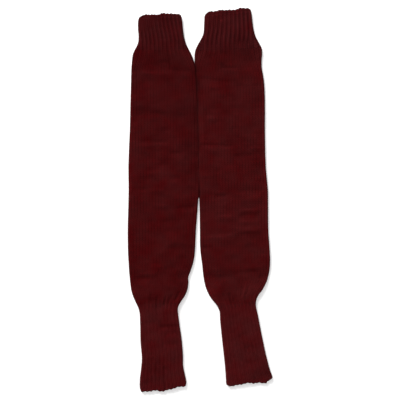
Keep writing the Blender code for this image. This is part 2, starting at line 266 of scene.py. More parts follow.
RIGHT_CREASES = [
    (98, 0.1, 0.4, 3, 0.5, 5, 5),
    (108, 0.36, 0.66, 0, -1.2, 3, 3.5),
    (130, 0, 0.6, -14, -1.3, 3.5, 14),
    (140, 0.57, 0.94, 0, -1.1, 3, 12),
    (144, 0.18, 0.36, -12, 1, 5, 5),
    (156, 0.3, 0.58, -4, 0.7, 4.5, 6),
    (181, 0.44, 0.78, 5, -0.6, 5, 7),
    (199, 0.12, 0.3, 0, 1.3, 4, 6),
    (215, 0.34, 0.7, -4, -0.5, 5, 7),
    (232, 0.6, 0.92, 3, 1, 3.5, 5),
    (247, -0.04, 0.6, -1, -1, 3.2, 5.5),
    (254, 0, 0.5, -1, 0.6, 4.5, 9),
    (252, 0.76, 1.02, 2, 1.4, 3, 5),
    (265, 0.5, 0.86, 9, -1.7, 4, 8),
    (281, 0.56, 0.86, 4, 0.6, 5, 6),
    (301, 0.02, 0.24, 0, 0.9, 4, 5),
    (313, 0.6, 0.86, -4, 0.6, 5, 6),
    (329, 0.54, 0.94, 3, -1.3, 5, 5),
    (338, 0.21, 0.41, 0, -1.8, 3.2, 4.5),
    (343, 0.56, 0.92, 2, 1.5, 4.5, 9),
    (354, 0.1, 0.42, -3, 0.7, 5, 6),
    (375, 0.24, 0.5, 3, 1.9, 3, 6.5),
    (373, 0.56, 0.92, 2, -1.3, 5, 6),
    (363.5, 0.58, 0.9, 2, 1.3, 3, 3.5),
    (385, 0.52, 0.9, 5, 1.3, 5, 5),
    (400, 0.52, 0.92, 5, 2.4, 6.5, 4.5),
    (412, 0.08, 0.56, 12, 1.9, 4.5, 9),
    (422, 0.6, 0.84, 0, 0.8, 4, 5),
    (431, -0.04, 0.22, 0, -1, 4, 6),
    (444, 0.26, 0.6, -3, 0.6, 5, 6),
    (466, 0.6, 0.98, 6, 1.3, 8, 5),
    (482, 0.02, 0.56, 8, -2.3, 8, 9),
    (474, 0.48, 0.86, 8, -1.1, 4, 6),
    (484, 0.84, 1.04, 0, -1.4, 6, 7),
    (507, 0.6, 0.98, 10, 1.3, 10, 16),
    (507, 0.02, 0.26, -4, 1, 7, 7),
    (526, 0.3, 0.62, 8, -0.7, 5, 5),
    (558, 0.5, 0.9, 4, 0.7, 7, 8),
    (588, 0.34, 0.96, 6, -1.2, 6, 9),
    (613, 0.5, 0.8, 3, -1.2, 6, 10),
    (637, 0.42, 0.9, 4, -1.2, 6, 9),
    (666, 0.54, 1.06, 6, -2, 10, 9),
]

# One row for each crease that runs down the top. share: its place across the width. start,
# end: where it runs down. rise, breadth: as above, with the breadth across the leg.
LEFT_PLEATS = [
    (0.62, 72, 118, -1.4, 3),
    (0.66, 126, 160, 0.9, 5),
    (1, 130, 500, -0.9, 16),
    (0.98, 92, 350, -1.6, 4.5),
    (0, 150, 470, -0.9, 13),
    (0.3, 488, 522, 1, 4),
    (0.34, 511, 533, -1.1, 2.4),
    (0.46, 513, 556, -1, 2.2),
    (0.64, 514, 536, -1.2, 2.2),
    (0.74, 512, 534, -1.2, 2.2),
    (0.85, 508, 530, -1.5, 3),
    (0.55, 640, 690, -1.6, 2.6),
    (0.3, 630, 662, 0.9, 2.6),
]

RIGHT_PLEATS = [
    (0.02, 92, 346, -1.4, 4.5),
    (0.3, 84, 112, 0.7, 3),
    (0.72, 50, 118, -1, 14),
    (0.09, 165, 258, 1.3, 4.5),
    (0.28, 286, 326, -1, 5),
    (0.27, 510, 531, -1, 2.4),
    (0.39, 508, 536, -1.7, 2.2),
    (0.52, 502, 523, -1.1, 2.4),
    (0.62, 500, 521, -1.1, 2.2),
    (0.72, 498, 519, -1.3, 2.4),
]

# One row for each soft patch of paler or darker colour on the top. Rows marked below are painted
# shade where the legs meet and along a crease, a painted highlight and painted sheen along the
# outer folds; the first right row is a fleck of lint. share: its place across the width. down: its
# middle. wide, high: half its size. shade: how much paler it is.
LEFT_TONE_AND_PAINTED_LIGHT_PATCHES = [
    (0.08, 94, 11, 15, -0.16),
    (0.12, 130, 14, 26, -0.05),
    (0.58, 97, 42, 12, -0.09),
    (0.86, 106, 18, 9, -0.08),
    (0.12, 181, 13, 6, -0.06),
    (0.34, 187, 18, 5, -0.12),
    (0.36, 202, 20, 9, -0.06),
    (0.62, 140, 12, 10, -0.06),
    (0.78, 590, 7, 7, -0.07),
    (0.66, 193, 18, 4.5, -0.08),
    (0.88, 196, 7, 16, -0.07),
    (0.83, 240, 11, 10, -0.07),
    (0.86, 262, 16, 52, -0.05),
    (0.4, 236, 36, 36, 0.05),
    (0.5, 420, 70, 90, 0.07),
    (0.12, 470, 13, 9, -0.08),
    (0.28, 494, 9, 16, 0.06),
    (0.76, 502, 26, 20, 0.07),
    (0.24, 506, 24, 18, 0.07),
    (0.8, 522, 16, 9, 0.07),
    (0.16, 528, 14, 7, 0.1),
    (0.8, 545, 15, 17, 0.12),
    (0.44, 560, 8, 17, -0.1),
    (0.4, 655, 44, 32, -0.04),
    # Painted shade along the left leg's fold where the legs meet, in this row and the next
    (0.955, 150, 4, 90, -0.09),
    (0.96, 338, 4, 15, -0.12),
    # Painted sheen: a paler strip along the left leg's outer fold
    (0.030, 300, 9, 190, 0.15),
]

RIGHT_TONE_AND_PAINTED_LIGHT_PATCHES = [
    (0.377, 22.5, 1.3, 1.3, 1.5),
    (0.2, 60, 8, 8, -0.12),
    (0.8, 76, 18, 22, -0.16),
    (0.42, 102, 6, 8, -0.13),
    (0.82, 150, 20, 17, -0.06),
    (0.26, 222, 26, 54, 0.08),
    (0.8, 238, 13, 9, 0.07),
    # Painted shade along a crease line
    (0.22, 244.5, 9, 2.2, -0.12),
    (0.46, 238, 15, 8, -0.08),
    (0.94, 250, 8, 12, -0.1),
    (0.3, 138, 5, 8, 0.03),
    (0.33, 330, 16, 8, 0.08),
    (0.4, 380, 56, 70, 0.04),
    (0.1, 404, 14, 14, 0.07),
    (0.64, 405, 16, 5, -0.1),
    (0.84, 372, 14, 7, -0.08),
    (0.5, 452, 52, 18, 0.06),
    (0.08, 506, 18, 10, 0.1),
    (0.16, 498, 18, 14, 0.07),
    (0.12, 520, 12, 11, 0.13),
    (0.78, 504, 20, 14, 0.19),
    (0.9, 664, 26, 18, -0.18),
    (0.95, 606, 9, 15, 0.13),
    # Painted highlight along the ridge beside the seam
    (0.072, 208, 2.5, 36, 0.12),
    # Painted shade along the right leg's fold where the legs meet, in this row and the next
    (0.035, 150, 5, 90, -0.26),
    (0.035, 242, 4.5, 18, -0.14),
    (0.28, 316, 8, 12, -0.06),
    (0.62, 436, 40, 8, -0.06),
    (0.3, 524, 30, 8, 0.06),
    (0.84, 523, 12, 10, 0.1),
    # Painted shade along the right leg's fold where the legs meet
    (0.03, 336, 4.5, 18, -0.2),
    # Painted sheen: a paler strip along the right leg's outer fold
    (0.965, 290, 7.5, 180, 0.22),
]

# Places where the ribs are pressed flat: wale, down, wales and length to each side, and how much
# of their depth they lose there, or gain where below 0
LEFT_PRESSED = [(5, 20, 8.5, 22, 0.85)]
RIGHT_PRESSED = [
    (5, 16, 8.5, 24, 0.45),
    (21, 80, 5.5, 20, 0.85),
    (20.5, 28, 3.5, 16, -0.25),
]

# Where an open end hangs out: 0 for the top end or 1 for the ankle's, wale, wales to each side,
# and how far
LEFT_DIPS = []
RIGHT_DIPS = [
    (0, 3, 3, 2.2),
    (1, 20.6, 2.4, 4.2),
]

# Where ribs run straight on past a cuff: from which level, up to where in full, to where, and
# how far they keep from following the cloth that flares out
HELD_RIBS = [
    (46, 70, 118, 0.85),
    (546, 524, 486, 0.6),
]

# Slow rise and fall of the top layer, as waves: their lengths across and down, and their height
UNDULATIONS = [
    (95.0, 61.0, 0.22),
    (52.0, -83.0, 0.18),
    (-141.0, 37.0, 0.15),
    (38.0, 29.0, 0.10),
]
PHASE_PER_SEED = 0.37   # share of a wave that makes the two legs' waves differ

# How the wales wander sideways: how many wales, how far down for a radian, and radians a wale
SWAYS = [
    (0.05, 17.0, 0.9),
    (0.05, 41.0, 0.37),
]

# Rings of the rim that rolls round an open end to the wall's inner side: how far past the edge,
# and which share of the way through the wall
RIM = [
    (0.7, 0.15),
    (1.1, 0.45),
    (0.9, 0.75),
]

# Bands of the bake map from its bottom, 0, to its top, 1, its side margins in wales, and how
# many courses a ring of the rim and a row of the inner side take up in the stitch map
OUTER_BAND = (0.01, 0.91)
INNER_BAND = (0.93, 0.99)
END_BANDS = [(0.002, 0.007), (0.993, 0.998)]
BAKE_MARGIN = 0.1
RIM_COURSES = 0.25
INNER_COURSES = 2.0

# Painted shade in the grooves between stitches and in the ribs' valleys, as a share of the painted
# cavity shade: the tone in a groove, and how much paler it is by its height in the stitch, by the
# rib's height, and in a valley
PAINTED_GROOVE_TONE = 0.2
PAINTED_STITCH_TONE = 0.8
PAINTED_RIB_TONE = 0.2
TOP_VALLEY_PAINTED_TONE = 0.25
ANKLE_VALLEY_PAINTED_TONE = 0.45
RIM_TONE = 0.6
INNER_TONE = 0.5
PAINTED_CAVITY_SHADE = 0.70      # how much paler crests are than grooves, where the grooves hold painted shade

# Yarn of each material slot, linear: its darkest shade, and its lightest one where it is pure
# red and where it is heathered with brown
YARNS = [
    ("top_cuff_rib", (0.013, 0.0006, 0.0008, 1), (0.088, 0.0030, 0.0044, 1),
     (0.088, 0.0090, 0.0102, 1)),
    ("leg_knit", (0.013, 0.0003, 0.0005, 1), (0.100, 0.0014, 0.0026, 1),
     (0.100, 0.0088, 0.0096, 1)),
    ("ankle_cuff_rib", (0.015, 0.0008, 0.0010, 1), (0.110, 0.0036, 0.0050, 1),
     (0.110, 0.0112, 0.0124, 1)),
]

# What else makes the yarn paler: dashes, clouds and fibres, less their mean, and each metre to
# the right and up
DASH_SHADE = 0.50
CLOUD_SHADE = 0.3
FIBRE_SHADE = 0.3
MEAN_SHADE = 0.51
RIGHT_SHADE = 0.22
UP_SHADE = -0.10
DASHES_PER_WALE = 0.21
DASHES_PER_COURSE = 3.37  # so that the courses differ

# How much brown is in the yarn: by the noise, by each metre to the right, and at 0
BROWN_BY_NOISE = 2.8
BROWN_BY_RIGHT = 1.2
BROWN_START = -0.85

# The yarn's twist: turns from a stitch's middle line to its side and along a course, and height
TWISTS_ACROSS = 2.6
TWISTS_ALONG = 1.4
TWIST_HEIGHT = 0.35


def ease(share):
    """Smooth step from 0 to 1, for numbers or arrays."""
    share = np.clip(share, 0.0, 1.0)
    return share * share * (3 - 2 * share)


class Tube:
    """A flattened tube through a table's sections, read at any distance down. lean is how many
    wales the stitches shift to the right up to the top edge, and lean_wale is where most.
    pressed lists where its ribs are pressed flat, and dips where an open end hangs out. seam is
    1 or -1 where its right or its left fold touches the other leg."""

    STEP = 0.5      # between the levels that values are kept for
    SPARE = 6.0     # how far they run on past the open ends
    COLUMNS = ("left", "right", "turn", "bow", "high")

    def __init__(self, table, creases, pleats, tone_and_painted_light_patches, lean, lean_wale, pressed, dips, seam, seed):
        rows = np.array(table)
        level = rows[:, 0]
        self.creases = creases
        self.pleats = pleats
        self.tone_and_painted_light_patches = tone_and_painted_light_patches
        self.lean = lean
        self.lean_wale = lean_wale
        self.pressed = pressed
        self.dips = dips
        self.seam = seam
        self.seed = seed
        self.mouths = (level[0], level[-1])
        self.down = np.arange(level[0] - self.SPARE, level[-1] + self.SPARE, self.STEP)
        start = np.clip(np.searchsorted(level, self.down) - 1, 0, len(rows) - 2)
        end = start + 1
        before = np.maximum(start - 1, 0)
        after = np.minimum(end + 1, len(rows) - 1)
        span = level[end] - level[start]
        share = (self.down - level[start]) / span
        # A cubic from each section to the next, with slopes that fit their neighbours
        self.values = {}
        for column, name in enumerate(self.COLUMNS, start=1):
            value = rows[:, column]
            slope_start = (value[end] - value[before]) / (level[end] - level[before]) * span
            slope_end = (value[after] - value[start]) / (level[after] - level[start]) * span
            line = (2 * share**3 - 3 * share**2 + 1) * value[start]
            line += (share**3 - 2 * share**2 + share) * slope_start
            line += (3 * share**2 - 2 * share**3) * value[end]
            line += (share**3 - share**2) * slope_end
            self.values[name] = line

    def read(self, name, down):
        """One of the sections' values at any distance down."""
        return np.interp(down, self.down, self.values[name])

    def width(self, down):
        """From fold to fold."""
        return self.read("right", down) - self.read("left", down)

    def slit(self, down):
        """Height of the hollow between the two layers."""
        from_mouth = np.minimum(down - self.mouths[0], self.mouths[1] - down)
        return MOUTH_SLIT + (SLIT - MOUTH_SLIT) * ease(from_mouth / MOUTH_REACH)

    def shift(self, wale, down):
        """How many wales the stitches are moved to the right at a place. They lean over in the
        top cuff, and draw together where the ribs run straight on into the flaring leg."""
        weight = 0.5 + 0.5 * np.cos(2 * math.pi * (wale - self.lean_wale) / WALES)
        moved = self.lean * weight * ease((TOP_JOINT - down) / TOP_JOINT)
        inner = ease(np.minimum(wale, TOP_WALES - wale) / (HELD_SIDES * TOP_WALES))
        width = self.width(down)
        for level, full, free, share in HELD_RIBS:
            held = ease((down - free) / (full - free)) * ((down - level) * (full - level) > 0)
            drawn = (wale - 0.5 * TOP_WALES) * (self.width(level) / width - 1)
            moved += share * held * inner * drawn
        return moved

    def fold_outset(self, down):
        """How far the folds are moved out sideways."""
        top_start, top_end = TOP_OUTSET_END
        ankle_start, ankle_end = ANKLE_OUTSET_START
        cuff = ease((top_end - down) / (top_end - top_start))
        cuff += ease((down - ankle_start) / (ankle_end - ankle_start))
        return CUFF_OUTSET * cuff - FOLD_INSET

    def crease_rise(self, share, down):
        """Height of all creases at a share of the width and a way down."""
        total = np.zeros_like(down)
        for level, start, end, slope, rise, above, below in self.creases:
            reached = np.abs(down - level) < CREASE_SPREADS * max(above, below) + abs(slope)
            if not reached.any():
                continue
            reach = ease(np.minimum(share - start, end - share) / (CREASE_FADE * (end - start)))
            away = down - level + slope * (share - 0.5 * (start + end))
            away = away / np.where(away < 0, above, below)
            total += rise * reach * np.exp(-away * away)
        width = self.width(down)
        for place, start, end, rise, breadth in self.pleats:
            reach = ease(np.minimum(down - start, end - down) / (CREASE_FADE * (end - start)))
            away = (share - place) * width / breadth
            total += rise * reach * np.exp(-away * away)
        return total

    def undulation(self, across, down):
        """Slow rise and fall of the top layer."""
        total = np.zeros_like(down)
        for length_across, length_down, height in UNDULATIONS:
            phase = across / length_across + down / length_down + PHASE_PER_SEED * self.seed
            total += height * np.sin(2 * math.pi * phase)
        return total

    def patch_tone_and_painted_light(self, wale, down):
        """How much paler or darker the top layer is in soft patches, some of them painted shade, a
        painted highlight or painted sheen.
        """
        share = np.mod(wale, WALES) / TOP_WALES
        width = self.width(down)
        total = np.zeros_like(down)
        for place, level, wide, high, shade in self.tone_and_painted_light_patches:
            across = (share - place) * width / wide
            along = (down - level) / high
            total += shade * np.exp(-across * across - along * along)
        return total * (share <= 1)

    def around(self, wale, down):
        """Where a wale lies on the plain tube, across from its middle and up, and how far the
        way out of the cloth points to the right and up there."""
        radius = 0.5 * self.read("high", down)
        flat = 0.5 * self.width(down) - radius
        bend = math.pi * radius
        whole = 2 * flat + 2 * bend
        way = whole * wale / TOP_WALES
        on_left = wale / TOP_WALES < bend / whole
        on_right = wale / TOP_WALES > 1 - bend / whole
        angle = np.where(on_left, way / radius, (way - bend - 2 * flat) / radius)
        out_x = np.where(on_left, -np.sin(angle), np.where(on_right, np.sin(angle), 0.0))
        out_z = np.where(on_left, -np.cos(angle), np.where(on_right, np.cos(angle), 1.0))
        across = np.where(on_left, -flat, np.where(on_right, flat, way - bend - flat))
        under = wale > TOP_WALES
        under_share = (wale - TOP_WALES) / (WALES - TOP_WALES)
        across = np.where(under, flat * (1 - 2 * under_share), across + radius * out_x)
        up = np.where(under, 0.0, radius + radius * out_z)
        return across, up, np.where(under, 0.0, out_x), np.where(under, -1.0, out_z)

    def seam_lean(self, across, up, down):
        """How far the cloth is moved to the right where the legs touch, or left where below 0."""
        out = self.seam * across / (0.5 * self.width(down))
        there = ease((out - SEAM_SIDE) / (1 - SEAM_SIDE))
        there = there * ease((down - SEAM_TOP) / SEAM_TOP_FADE)
        there = there * ease((SEAM_BOTTOM - down) / SEAM_BOTTOM_FADE)
        return there * SEAM_LEAN * np.tanh((up - SEAM_LEVEL) / SEAM_RISE)

    def surface(self, wale, down, lift, inward):
        """Points on the tube. wale runs from the left end of the flat underside over the top
        and back underneath. lift stands out from the cloth, and inward is a share of the way
        to the wall's inner side."""
        half_width = 0.5 * self.width(down)
        wall = 0.5 * (self.read("high", down) - self.slit(down))
        across, up, out_x, out_z = self.around(np.mod(wale, WALES), down)
        creases = self.crease_rise(0.5 + 0.5 * across / half_width, down)
        wave = self.undulation(across, down)
        on_top = np.maximum(out_z, 0.0)
        beneath = np.maximum(-out_z, 0.0)
        outside = 1 - inward

        # The relief is pressed at the folds, and beneath a trough it is squeezed with the wall
        troughs = np.minimum(creases, 0.0)
        squeezed = 1 + beneath * INNER_UNDER_SHARE * troughs / wall
        lift = lift * squeezed * (1 - (1 - FOLD_RELIEF) * np.abs(out_x))
        lift = (lift + self.fold_outset(down) * np.abs(out_x)) * outside - inward * wall
        across = across + lift * out_x
        up = up + lift * out_z

        # Creases move the top layer, and its troughs press the lower layer's inner side down
        followed = INNER_TOP_SHARE - INNER_UNDER_SHARE
        followed = INNER_UNDER_SHARE + followed * ease(0.5 + 0.5 * out_z)
        raised = creases - troughs + wave
        inner_move = troughs * followed + on_top * INNER_TOP_SHARE * raised
        up = up + outside * on_top * (creases + wave) + inward * inner_move
        across = across + self.seam_lean(across, up, down)

        along = across * np.tan(np.radians(self.read("turn", down))) - down
        along -= self.read("bow", down) * (1 - (across / half_width) ** 2)
        x = 0.5 * (self.read("left", down) + self.read("right", down)) + across - PAIR_MIDDLE_X
        y = along + PAIR_MIDDLE_DOWN
        return np.stack([x, y, np.maximum(up, 0.0)], axis=-1) * MM


def columns_round(spare):
    """The grid's columns round a tube: wale, place in the wale from -1 to 1, and how high the
    stitch stands there. Wales over the top and spare ones past each fold are fine."""
    columns = []
    for wale in range(WALES):
        fine = wale <= TOP_WALES + spare or wale >= WALES - spare
        for place, stand in (FINE_STITCH if fine else COARSE_STITCH):
            columns.append((wale, place, stand))
    wales, places, stands = zip(*columns)
    return np.array(wales), np.array(places), np.array(stands)


class Knit:
    """One piece of a tube, from start to end down, with its stitches."""

    def __init__(self, tube, start, end, courses, ribbed, seed):
        self.tube = tube
        self.start = start
        self.end = end
        self.courses = courses
        self.ribbed = ribbed
        self.top_mouth = start < TOP_JOINT
        self.bottom_mouth = end > ANKLE_JOINT
        self.spare = SPARE_FINE_WALES if ribbed else 0
        self.seed = seed
        self.random = np.random.default_rng(seed)

    def rib_share(self, course):
        """1 where the cloth is ribbed, easing to 0 at a cuff's joint to the leg."""
        if not self.ribbed:
            return np.zeros_like(course)
        from_joint = self.courses - course if self.top_mouth else course
        return ease(from_joint / JOINT_COURSES)

    def straightened(self, course):
        """0 at an open end and 1 away from it."""
        share = np.ones_like(course)
        if self.top_mouth:
            share *= ease(course / MOUTH_COURSES)
        if self.bottom_mouth:
            share *= ease((self.courses - course) / MOUTH_COURSES)
        return share

    def rib_depth(self, down):
        """How far ribs stand over valleys, also where they run on into the leg."""
        from_top = 1 - ease((down - TOP_JOINT) / TOP_GATHER_REACH)
        from_ankle = 1 - ease((ANKLE_JOINT - down) / ANKLE_GATHER_REACH)
        if not self.ribbed:
            return TOP_GATHER_RIB * from_top + ANKLE_GATHER_RIB * from_ankle
        full = TOP_CUFF_RIB if self.top_mouth else ANKLE_CUFF_RIB
        joint = TOP_GATHER_RIB if self.top_mouth else ANKLE_GATHER_RIB
        away = TOP_JOINT - down if self.top_mouth else down - ANKLE_JOINT
        return joint + (full - joint) * ease(away / TOP_GATHER_REACH)

    def edge_wave(self, local, down):
        """How far down the cloth is moved near an open end, for its scallops, waves and dips."""
        over = ease(np.minimum(local + 1, TOP_WALES + 1 - local) / UNDERLAY_WALES)
        scallop = -RIB_SCALLOP * np.cos(math.pi * local) * over - UNDERLAY * (1 - over)
        phase = 2 * math.pi * EDGE_WAVES * local / WALES
        slow = np.sin(phase + self.seed) + EDGE_RIPPLE * np.sin(2 * phase + 2 * self.seed)
        move = np.zeros_like(down)
        for mouth, out, here in ((0, -1, self.top_mouth), (1, 1, self.bottom_mouth)):
            if not here:
                continue
            away = np.abs(down - self.tube.mouths[mouth])
            dip = np.zeros_like(down)
            for dip_mouth, middle, wales, depth in self.tube.dips:
                if dip_mouth == mouth:
                    dip += depth * np.exp(-((local - middle) / wales) ** 2)
            slack = EDGE_WAVE * slow + dip - EDGE_INSET
            move += out * scallop * (1 - ease(away / SCALLOP_REACH))
            move += out * slack * (1 - ease(away / EDGE_REACH))
        return move

    def uneven_ribs(self, wale, down):
        """How much deeper or shallower than usual each valley is at the ankle's gathers."""
        pucker = np.random.default_rng(self.tube.seed).uniform(*PUCKER_RANGE, WALES)
        near = np.exp(-((down - PUCKER_DOWN) / PUCKER_REACH) ** 2)
        valley = np.where(wale % 2 == 0, wale, (wale + 1) % WALES)
        return 1 + (pucker[valley] - 1) * near

    def pressed_out(self, wale, down):
        """How much of the ribs' relief is lost where they are pressed flat."""
        total = np.zeros_like(down)
        for middle, level, wales, reach, share in self.tube.pressed:
            away = ((wale - middle) / wales) ** 2 + ((down - level) / reach) ** 2
            total += share * np.exp(-away * away)
        return total

    def grid(self):
        """Wale, way down, lift, course and paleness of every point of the outer side, where the
        paleness is painted shade, darker in the grooves than on the crests, with the patches added."""
        wale, place, stand = columns_round(self.spare)
        rows = self.courses * ROWS_PER_COURSE + 1
        course = np.arange(rows)[:, None] / ROWS_PER_COURSE + np.zeros(len(wale))
        ribbed = self.rib_share(course)
        valley = (wale % 2 == 0) & self.ribbed
        reach = np.where(valley, ribbed + (1 - ribbed) * np.abs(place), np.abs(place))
        down = self.start + (self.end - self.start) * course / self.courses
        down = down + ARM_REACH * (1 - reach) * self.straightened(course)

        rib_share = TOP_RIB_SHARE if self.top_mouth else ANKLE_RIB_SHARE
        rib_half = rib_share * ribbed + 0.5 * (1 - ribbed)
        half = np.where(wale % 2 == 1, rib_half, 1 - rib_half)
        sway = sum(far * np.sin(down / length + wale * turn) for far, length, turn in SWAYS)
        local = wale + half * place
        spot = local + sway + self.tube.shift(local, down)
        down = down + self.edge_wave(local, down)

        groove = np.sin(math.pi * (course % 1.0)) ** GROOVE_POWER
        cell = (course.astype(int), wale + np.zeros(course.shape, int))
        even = self.random.uniform(*STITCH_RANGE, (self.courses + 2, WALES))[cell]
        knit = STITCH_RELIEF * stand * (KNIT_GROOVE + (1 - KNIT_GROOVE) * groove) * even
        purl = PURL_RELIEF * (1 - place**2) * (PURL_GROOVE + (1 - PURL_GROOVE) * groove) * even
        pressed = self.pressed_out(wale, down)
        stitch = np.where(valley, purl * ribbed + knit * (1 - ribbed), knit)
        stitch = stitch + pressed * valley * PRESSED_FILL * (1 - place**2)
        rib = -0.5 * np.cos(math.pi * local)
        rib = rib * self.rib_depth(down) * self.uneven_ribs(wale, down) * (1 - pressed)
        # Underneath, all of the relief is sunk
        under = np.mod(spot, WALES) > TOP_WALES
        lift = np.where(under, stitch - STITCH_RELIEF, stitch - SUNK_SHARE * STITCH_RELIEF + rib)

        # Painted shade: the yarn is painted darker in the grooves and valleys and paler on the
        # crests
        depth = PAINTED_STITCH_TONE * stitch / STITCH_RELIEF + PAINTED_GROOVE_TONE + PAINTED_RIB_TONE * rib
        depth += (TOP_VALLEY_PAINTED_TONE if self.top_mouth else ANKLE_VALLEY_PAINTED_TONE) * valley * ribbed
        tone_and_painted_light = PAINTED_CAVITY_SHADE * np.clip(depth, 0, 1) + self.tube.patch_tone_and_painted_light(spot, down)
        return spot, down, lift, course, tone_and_painted_light


def outer_side(knit):
    """Points, courses and paleness, with its painted shade, of the stitched side, with a rim rolled
    round an open end.
    """
    spot, down, lift, course, tone_and_painted_light = knit.grid()
    points = [knit.tube.surface(spot, down, lift, 0.0)]
    courses = [course]
    tones_and_painted_light = [tone_and_painted_light]
    rim_tone = np.full_like(tone_and_painted_light[:1], RIM_TONE * PAINTED_CAVITY_SHADE)
    for number, (beyond, inward) in enumerate(RIM, start=1):
        if knit.top_mouth:
            points.insert(0, knit.tube.surface(spot[:1], down[:1] - beyond, lift[:1], inward))
            courses.insert(0, course[:1] - RIM_COURSES * (number + 1))
            tones_and_painted_light.insert(0, rim_tone)
        if knit.bottom_mouth:
            points.append(knit.tube.surface(spot[-1:], down[-1:] + beyond, lift[-1:], inward))
            courses.append(course[-1:] + RIM_COURSES * number)
            tones_and_painted_light.append(rim_tone)
    return np.concatenate(points), np.concatenate(courses), np.concatenate(tones_and_painted_light)


def inner_side(knit):
    """Points of the plain inner side, a row for each course. At a joint it starts or ends half
    way along the stitches' arms."""
    top = knit.start + (0.0 if knit.top_mouth else 0.5 * ARM_REACH)
    bottom = knit.end + (0.0 if knit.bottom_mouth else 0.5 * ARM_REACH)
    down = np.linspace(top, bottom, knit.courses + 1)[:, None] + np.zeros(WALES)
    wale = np.arange(WALES) - 0.5 + np.zeros((knit.courses + 1, 1))
    down = down + knit.edge_wave(wale, down)
    wale = wale + knit.tube.shift(wale, down)
    return knit.tube.surface(wale, down, np.zeros_like(down), 1.0)


def skin(rows, columns, first):
    """Corner numbers of a grid that closes round itself, as points and as grid places."""
    row, column = np.meshgrid(np.arange(rows - 1), np.arange(columns), indexing="ij")
    row = row.ravel()
    column = column.ravel()
    corner_row = np.stack([row, row, row + 1, row + 1], axis=1)
    corner_column = np.stack([column, column + 1, column + 1, column], axis=1)
    points = first + corner_row * columns + corner_column % columns
    return points, corner_row, corner_column


def bake_places(wales, share, band):
    """Places in the bake map: so many wales from its left, and a share of the way up a band."""
    low, high = band
    across = (wales + BAKE_MARGIN) / (WALES + 2 * BAKE_MARGIN)
    return np.stack([across, low + (high - low) * share], axis=-1)


def face_group(corners, bake, stitches, smooth, turned):
    """Faces with equally many corners, and each corner's places in the two maps. turned says
    that their corners are given the wrong way round."""
    order = -1 if turned else 1
    return {"corners": corners[:, ::order], "OFBake": bake[:, ::order],
            "Stitches": stitches[:, ::order], "smooth": smooth}


def outer_faces(knit, points, courses):
    """Faces of the outer side. In the bake map its rows are as far apart as on the cloth."""
    rows, columns = courses.shape
    corners, row, column = skin(rows, columns, 0)
    wale, place, _ = columns_round(knit.spare)
    wale_line = np.append(wale + 0.5 * place, WALES - 0.5)
    lengths = np.linalg.norm(np.diff(points, axis=0), axis=2).mean(axis=1)
    row_line = np.concatenate([[0], np.cumsum(lengths)])
    bake = bake_places(wale_line[column] + 0.5, row_line[row] / row_line[-1], OUTER_BAND)
    stitches = np.stack([wale_line[column], courses[row, column % columns]], axis=-1)
    return face_group(corners, bake, stitches, smooth=True, turned=True)


def inner_faces(rows, first):
    """Faces of the inner side."""
    corners, row, column = skin(rows, WALES, first)
    bake = bake_places(column, row / (rows - 1), INNER_BAND)
    stitches = np.stack([column, INNER_COURSES * row], axis=-1)
    return face_group(corners, bake, stitches, smooth=True, turned=False)


def end_faces(knit, end, outer_first, inner_first):
    """Faces that close the wall at its top end, 0, or its bottom end, 1: one for each wale."""
    column_wale = columns_round(knit.spare)[0]
    columns = len(column_wale)
    groups = []
    for per_wale in (len(FINE_STITCH), len(COARSE_STITCH)):
        wales = [wale for wale in range(WALES) if (column_wale == wale).sum() == per_wale]
        faces = []
        for wale in wales:
            begin = int(np.argmax(column_wale == wale))
            ring = [outer_first + (begin + step) % columns for step in range(per_wale + 1)]
            faces.append(ring + [inner_first + (wale + 1) % WALES, inner_first + wale])
        wale = np.array(wales)[:, None]
        step = np.linspace(0, 1, per_wale + 1)
        across = np.concatenate([wale + step, wale + 1.0, wale + 0.0], axis=1)
        through = np.concatenate([np.zeros_like(step), [1.0, 1.0]])[None, :] + 0.0 * wale
        bake = bake_places(across, through, END_BANDS[end])
        stitches = np.stack([across, through], axis=-1)
        groups.append(face_group(np.array(faces), bake, stitches, smooth=False, turned=end == 1))
    return groups


def build_mesh(name, points, tone_and_painted_light, groups):
    """A mesh from points, their paleness with painted shade and painted light, and groups of faces.
    """
    data = bpy.data.meshes.new(name)
    data.vertices.add(len(points))
    data.vertices.foreach_set("co", points.ravel().astype(np.float32))
    corners = np.concatenate([group["corners"].ravel() for group in groups])
    sizes = np.concatenate([np.full(len(g["corners"]), g["corners"].shape[1]) for g in groups])
    smooth = np.concatenate([np.full(len(g["corners"]), g["smooth"]) for g in groups])
    data.loops.add(len(corners))
    data.loops.foreach_set("vertex_index", corners.astype(np.int32))
    data.polygons.add(len(sizes))
    starts = np.concatenate([[0], np.cumsum(sizes)[:-1]])
    data.polygons.foreach_set("loop_start", starts.astype(np.int32))
    data.polygons.foreach_set("use_smooth", smooth)
    for layer in ("OFBake", "Stitches"):
        places = np.concatenate([group[layer].reshape(-1, 2) for group in groups])
        uv = data.uv_layers.new(name=layer)
        uv.uv.foreach_set("vector", places.ravel().astype(np.float32))
    data.attributes.new("tone_and_painted_light", "FLOAT", "POINT").data.foreach_set("value", tone_and_painted_light)
    data.update(calc_edges=True)
    data.validate()
    piece = bpy.data.objects.new(name, data)
    bpy.context.scene.collection.objects.link(piece)
    return piece


